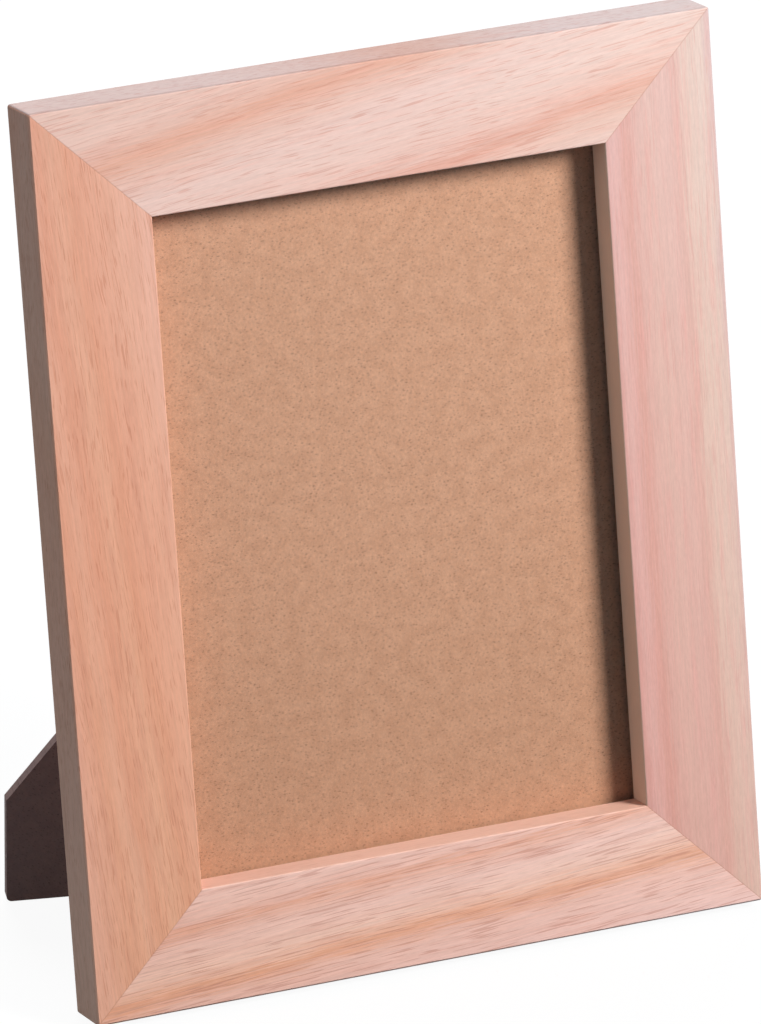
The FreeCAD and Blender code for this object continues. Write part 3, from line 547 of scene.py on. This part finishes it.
def steelFinish(name, look, matrix):
    finish, tree, shader = newFinish(name)
    shader.inputs["Metallic"].default_value = 1
    steel = useGroup(tree, steelGroup, {
        "Place": placeIn(tree, matrix), "Bright Color": paint(*look["bright"]),
        "Dull Color": paint(*look["dull"]), "Dull Share": look["share"],
        "Smoothness": look["smooth"]})
    color = steel["Color"]
    if name == "screwSteel":
        # painted shade: the cross recesses are darkened, more the deeper they go
        paintedShade = sums(tree, "MULTIPLY", recessShadeMask(tree, screwSizes), screwSizes["recessShadeShare"])
        color = blendColor(tree, paintedShade, color, paint(*screwSizes["recessShade"]))
    send(tree, shader.inputs, {"Base Color": color, "Roughness": steel["Roughness"]})
    addBump(tree, shader, steel["Height"], plateLook["depth"], plateLook["relief"])
    return finish


steels = {name: steelFinish(name, look, onHinge) for name, look in steelLooks.items()}
paintNode("corner_v_nails", steels["nailSteel"])
print("finishes ready")

turnedSizes = {"steps": 40, "weld": 0.0001, "smoothUnder": 35}


def looseObject(form, name):
    mesh = bpy.data.meshes.new(name)
    form.to_mesh(mesh)
    form.free()
    made = bpy.data.objects.new(name, mesh)
    bpy.context.scene.collection.objects.link(made)
    return made


def keepPiece(form, name, body, finish, stands, smoothUnder=turnedSizes["smoothUnder"]):
    piece = looseObject(form, name)
    piece.data.materials.append(finish)
    piece.data.shade_smooth()
    piece.data.set_sharp_from_angle(angle=math.radians(smoothUnder))
    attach(piece, body)
    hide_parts(stands)
    return piece


# Shares of a head's radius and of its height over the seat, as (radius, height) points
def headPoints(radius, seat, high, shares):
    return [(radius * wide, seat + high * tall) for wide, tall in shares]


# A profile of (radius, height) points spun about z, then put in place
def turned(profile, place, steps=turnedSizes["steps"]):
    form = bmesh.new()
    ring = [form.verts.new((radius * mm, 0, height * mm)) for radius, height in profile]
    lines = [form.edges.new(pair) for pair in zip(ring, ring[1:])]
    bmesh.ops.spin(form, geom=ring + lines, cent=(0, 0, 0), axis=(0, 0, 1), angle=math.tau,
                   steps=steps, use_merge=True)
    bmesh.ops.remove_doubles(form, verts=form.verts, dist=turnedSizes["weld"] * mm)
    bmesh.ops.transform(form, matrix=place, verts=form.verts)
    return form


# The plates keep their outline and get the rolled edges of pressed steel
plateSizes = {"edgeRound": 0.16, "steps": 2, "sharpOver": 35, "flatUnder": 0.5, "weld": 0.001}
plateBodies = {
    "hinge_board_leaf": "frame", "hinge_strut_leaf": "strut",
    "sawtooth_hanger_top": "frame", "sawtooth_hanger_side": "frame",
}
buttonPlaces = {"bottom_left": (-1, "low"), "bottom_right": (1, "low"),
                "top_left": (-1, "high"), "top_right": (1, "high")}
for corner in buttonPlaces:
    plateBodies["turn_button_" + corner] = "turn_button_" + corner


def roundedPlate(node, body):
    form = bmesh.new()
    form.from_mesh(cadNodes[node].data)
    bmesh.ops.remove_doubles(form, verts=form.verts, dist=plateSizes["weld"] * mm)
    bmesh.ops.dissolve_limit(form, angle_limit=math.radians(plateSizes["flatUnder"]),
                             verts=form.verts, edges=form.edges)
    sharp = [edge for edge in form.edges
             if edge.calc_face_angle(0) > math.radians(plateSizes["sharpOver"])]
    bmesh.ops.bevel(form, geom=sharp, offset=plateSizes["edgeRound"] * mm, offset_type="OFFSET",
                    segments=plateSizes["steps"], profile=0.5, affect="EDGES", material=-1,
                    clamp_overlap=True)
    piece = keepPiece(form, node + "_plate", body, steels["zincPlate"], node)
    # the flat faces keep an even light beside their rounded edges
    piece.modifiers.new("evenLight", "WEIGHTED_NORMAL").keep_sharp = True


for node, body in plateBodies.items():
    roundedPlate(node, body)
print("plates made")


def screwForm(place, size):
    radius, seat, shank = size["headRadius"], size["seat"], size["shankRadius"]
    profile = headPoints(radius, seat, size["headHigh"], size["dome"])
    profile += [(radius, seat + size["chamfer"]), (radius - size["chamfer"], seat), (shank, seat),
                (shank, size["point"] - size["tip"]), (0, -size["tip"])]
    return turned(profile, place, size["steps"])


def crossCutter(place, size):
    form = bmesh.new()
    top = size["seat"] + size["headHigh"]
    for turn in (0, 90):
        arm = bmesh.ops.create_cube(form, size=1)["verts"]
        for vert in arm:
            vert.co = Vector((vert.co.x * 2 * size["slotLong"], vert.co.y * 2 * size["slotWide"],
                              top + vert.co.z * 2 * size["slotDeep"])) * mm
            if vert.co.z < top * mm:
                vert.co.x *= size["slotTaper"][0]
                vert.co.y *= size["slotTaper"][1]
        bmesh.ops.rotate(form, verts=arm, cent=(0, 0, 0), matrix=spun(turn, "Z").to_3x3())
    bmesh.ops.transform(form, matrix=place, verts=form.verts)
    return form


# Cuts one form out of another and hands back the rest
def cutAway(form, cutter, weld):
    stock, tool = looseObject(form, "stock"), looseObject(cutter, "tool")
    cut = stock.modifiers.new("cut", "BOOLEAN")
    cut.operation, cut.solver, cut.object, cut.use_self = "DIFFERENCE", "EXACT", tool, True
    depsgraph = bpy.context.evaluated_depsgraph_get()
    left = bmesh.new()
    left.from_mesh(stock.evaluated_get(depsgraph).to_mesh())
    bmesh.ops.remove_doubles(left, verts=left.verts, dist=weld * mm)
    for made in (stock, tool):
        mesh = made.data
        bpy.data.objects.remove(made)
        bpy.data.meshes.remove(mesh)
    return left


def joined(forms):
    whole = bmesh.new()
    for form in forms:
        mesh = bpy.data.meshes.new("part")
        form.to_mesh(mesh)
        form.free()
        whole.from_mesh(mesh)
        bpy.data.meshes.remove(mesh)
    return whole


# Each screw is left at its own angle, as it is when driven by hand
screws = []
for index, (side, row) in enumerate(buttonPlaces.values()):
    spot = at(onFrame, side * screwSizes["across"], screwSizes[row], 0) @ spun(180, "X")
    spot = spot @ spun(screwSizes["firstTurn"] + screwSizes["turnStep"] * index, "Z")
    screws.append(cutAway(screwForm(spot, screwSizes), crossCutter(spot, screwSizes),
                          screwSizes["weld"]))
keepPiece(joined(screws), "turn_button_screws_cross_head", "frame",
          steels["screwSteel"], "turn_button_screws", screwSizes["smoothUnder"])
print("screws made")

# Rivets: a low dome on the leaf and a curled end let into the board
# curl: shares of the flare's radius and depth; turns: degrees down the dome
rivetSizes = {"across": 9, "down": 14, "headRadius": 2.8, "headHigh": 0.9, "rim": 0.12,
              "turns": (0, 15, 30, 45, 60, 75, 90), "shank": 1.45, "leaf": 0.8, "boardThick": 3,
              "strutSeat": 4.1, "flare": 2.45, "flareDeep": 0.65,
              "curl": [(0.86, 0.86), (1, 0.45), (0.94, 0.12), (0.8, 0), (0.62, 0.1)],
              "bore": 0.85, "boreMouth": 0.6, "boreDeep": 1.6, "boreTip": 0.25}


def rivetForm(place, size):
    rim, shank, bore, deep = size["rim"], size["shank"], size["bore"], size["flareDeep"]
    turns = [math.radians(turn) for turn in size["turns"]]
    dome = headPoints(size["headRadius"], 0, size["headHigh"],
                      [(math.sin(turn), rim + (1 - rim) * math.cos(turn)) for turn in turns])
    end = -(size["leaf"] + size["boardThick"])
    boreEnd = end + size["boreDeep"]
    profile = dome + [(size["headRadius"], 0), (shank, 0), (shank, end + deep)]
    profile += headPoints(size["flare"], end, deep, size["curl"])
    profile += [(bore, end + deep * size["boreMouth"]), (bore, boreEnd),
                (0, boreEnd + size["boreTip"])]
    return turned(profile, place)


def rivetPair(base, down, seat):
    return joined([rivetForm(at(base, side * rivetSizes["across"], down, seat), rivetSizes)
                   for side in (-1, 1)])


keepPiece(rivetPair(onHinge, -rivetSizes["down"], rivetSizes["leaf"]),
          "hinge_board_rivets_domed", "frame", steels["rivetSteel"],
          "hinge_board_rivets")
keepPiece(rivetPair(onStrut, rivetSizes["down"], rivetSizes["strutSeat"]),
          "hinge_strut_rivets_domed", "strut", steels["rivetSteel"],
          "hinge_strut_rivets")

# The pin, with both ends peened over
pinSizes = {"radius": 1.2, "half": 11.1, "head": 1.65, "headHigh": 0.8,
            "dome": [(0, 1), (0.45, 0.94), (0.78, 0.7), (0.96, 0.38), (1, 0.16), (0.97, 0)]}
halfPin = headPoints(pinSizes["head"], pinSizes["half"], pinSizes["headHigh"], pinSizes["dome"])
halfPin.append((pinSizes["radius"], pinSizes["half"]))
pinProfile = halfPin + [(radius, -height) for radius, height in reversed(halfPin)]
keepPiece(turned(pinProfile, onPin @ spun(90, "Y")), "hinge_pin_peened", "frame",
          steels["rivetSteel"], "hinge_pin")

# Hanger nails with low domed heads
nailSizes = {"head": 1.4, "headHigh": 0.6, "seat": 0.8, "shank": 0.58, "deep": 7.0, "point": 1.6,
             "dome": [(0, 1), (0.6, 0.96), (0.88, 0.78), (1, 0.5), (1, 0.2), (0.92, 0)],
             "steps": 28, "spread": 16.5, "top": (0, 222), "side": (82, 115)}


def nailForm(place, size):
    seat, shank, deep = size["seat"], size["shank"], size["deep"]
    profile = headPoints(size["head"], seat, size["headHigh"], size["dome"])
    profile += [(shank, seat), (shank, size["point"] - deep), (0, -deep)]
    return turned(profile, place @ spun(180, "X"), size["steps"])


(topU, topV), (sideU, sideV), spread = nailSizes["top"], nailSizes["side"], nailSizes["spread"]
nailSpots = [(topU - spread, topV), (topU + spread, topV),
             (sideU, sideV - spread), (sideU, sideV + spread)]
keepPiece(joined([nailForm(at(onFrame, u, v, 0), nailSizes) for u, v in nailSpots]),
          "hanger_nails_domed", "frame", steels["nailSteel"], "hanger_nails")
print("rivets, pin and nails made")

# Floor and backdrop look white, and light the piece as faintly as the lit colours say
stageLook = {"floorSize": 12, "floorLit": (0.12, 0.17, 0.2, 1), "skyLit": (0.02, 0.05, 0.085, 1),
             "white": (1, 1, 1, 1), "glow": 0.94, "target": (0, -0.018, 0.115)}


# 1 for rays that bring the camera a picture, 0 for those that only light
def pictureRays(tree):
    rays = addNode(tree, "LightPath").outputs
    mirrored = sums(tree, "MAXIMUM", rays["Is Glossy Ray"], rays["Is Transmission Ray"])
    return sums(tree, "MAXIMUM", rays["Is Camera Ray"], mirrored)


floorForm = bmesh.new()
bmesh.ops.create_grid(floorForm, x_segments=1, y_segments=1, size=stageLook["floorSize"] / 2)
floor = looseObject(floorForm, "floor")
floorFinish, tree, shader = newFinish("pale_floor", 0.0)
shader.inputs["Roughness"].default_value = 1
seen = pictureRays(tree)
tree.links.new(blendColor(tree, seen, stageLook["floorLit"], stageLook["white"]),
               shader.inputs["Base Color"])
glow = addNode(tree, "Emission", {"Color": stageLook["white"], "Strength": 1.0})
both = addNode(tree, "MixShader", {0: sums(tree, "MULTIPLY", seen, stageLook["glow"]),
                                   1: shader.outputs[0], 2: glow.outputs[0]})
tree.links.new(both.outputs[0], tree.nodes["Material Output"].inputs["Surface"])
floor.data.materials.append(floorFinish)

world = bpy.data.worlds.new("studio")
bpy.context.scene.world = world
world.use_nodes = True
tree = world.node_tree
sky = tree.nodes["Background"]
tree.links.new(blendColor(tree, pictureRays(tree), stageLook["skyLit"], stageLook["white"]),
               sky.inputs["Color"])
sky.inputs["Strength"].default_value = 1.0

# azimuth is to the viewer's right of straight in front, elevation above the floor
lampLooks = {
    "key": {"azimuth": 40.6, "elevation": 34.5, "distance": 1.2, "size": 0.44, "power": 18.1,
            "color": (1.0, 0.985, 0.97)},
    "side": {"azimuth": -86, "elevation": 12, "distance": 1.5, "size": 0.6, "power": 3.9,
             "color": (0.9, 1.05, 1.08)},
    "back": {"azimuth": 165, "elevation": 45, "distance": 1.4, "size": 0.8, "power": 19.0,
             "color": (1.0, 1.0, 1.0)},
}
for lampName, look in lampLooks.items():
    azimuth, elevation = math.radians(look["azimuth"]), math.radians(look["elevation"])
    toward = Vector((math.sin(azimuth) * math.cos(elevation),
                     -math.cos(azimuth) * math.cos(elevation), math.sin(elevation)))
    lampData = bpy.data.lights.new(lampName, "AREA")
    lampData.shape, lampData.size = "DISK", look["size"]
    lampData.energy, lampData.color = look["power"], look["color"]
    lamp = bpy.data.objects.new(lampName, lampData)
    lamp.location = Vector(stageLook["target"]) + toward * look["distance"]
    lamp.rotation_mode = "QUATERNION"
    lamp.rotation_quaternion = (-toward).to_track_quat("-Z", "Y")
    bpy.context.scene.collection.objects.link(lamp)

# The camera, as fitted to the frame's corners in the photo
cameraPlace = {
    "spot": (-0.97794951, -2.27429745, 1.22273613), "lens": 386.03, "sensor": 36,
    "clip": (0.1, 50), "right": (0.91860868, -0.3951642, 0.00182993),
    "up": (0.16067583, 0.37773376, 0.91186648), "back": (-0.36102821, -0.83735444, 0.41048285),
}
cameraData = bpy.data.cameras.new("camera")
cameraData.sensor_fit, cameraData.sensor_width = "AUTO", cameraPlace["sensor"]
cameraData.lens = cameraPlace["lens"]
cameraData.clip_start, cameraData.clip_end = cameraPlace["clip"]
camera = bpy.data.objects.new("camera", cameraData)
turn = Matrix([cameraPlace[axis] for axis in ("right", "up", "back")]).transposed()
camera.matrix_world = Matrix.Translation(cameraPlace["spot"]) @ turn.to_4x4()
bpy.context.scene.collection.objects.link(camera)
bpy.context.scene.camera = camera
bpy.context.scene.view_settings.view_transform = "Standard"
print("stage, lamps and camera set")
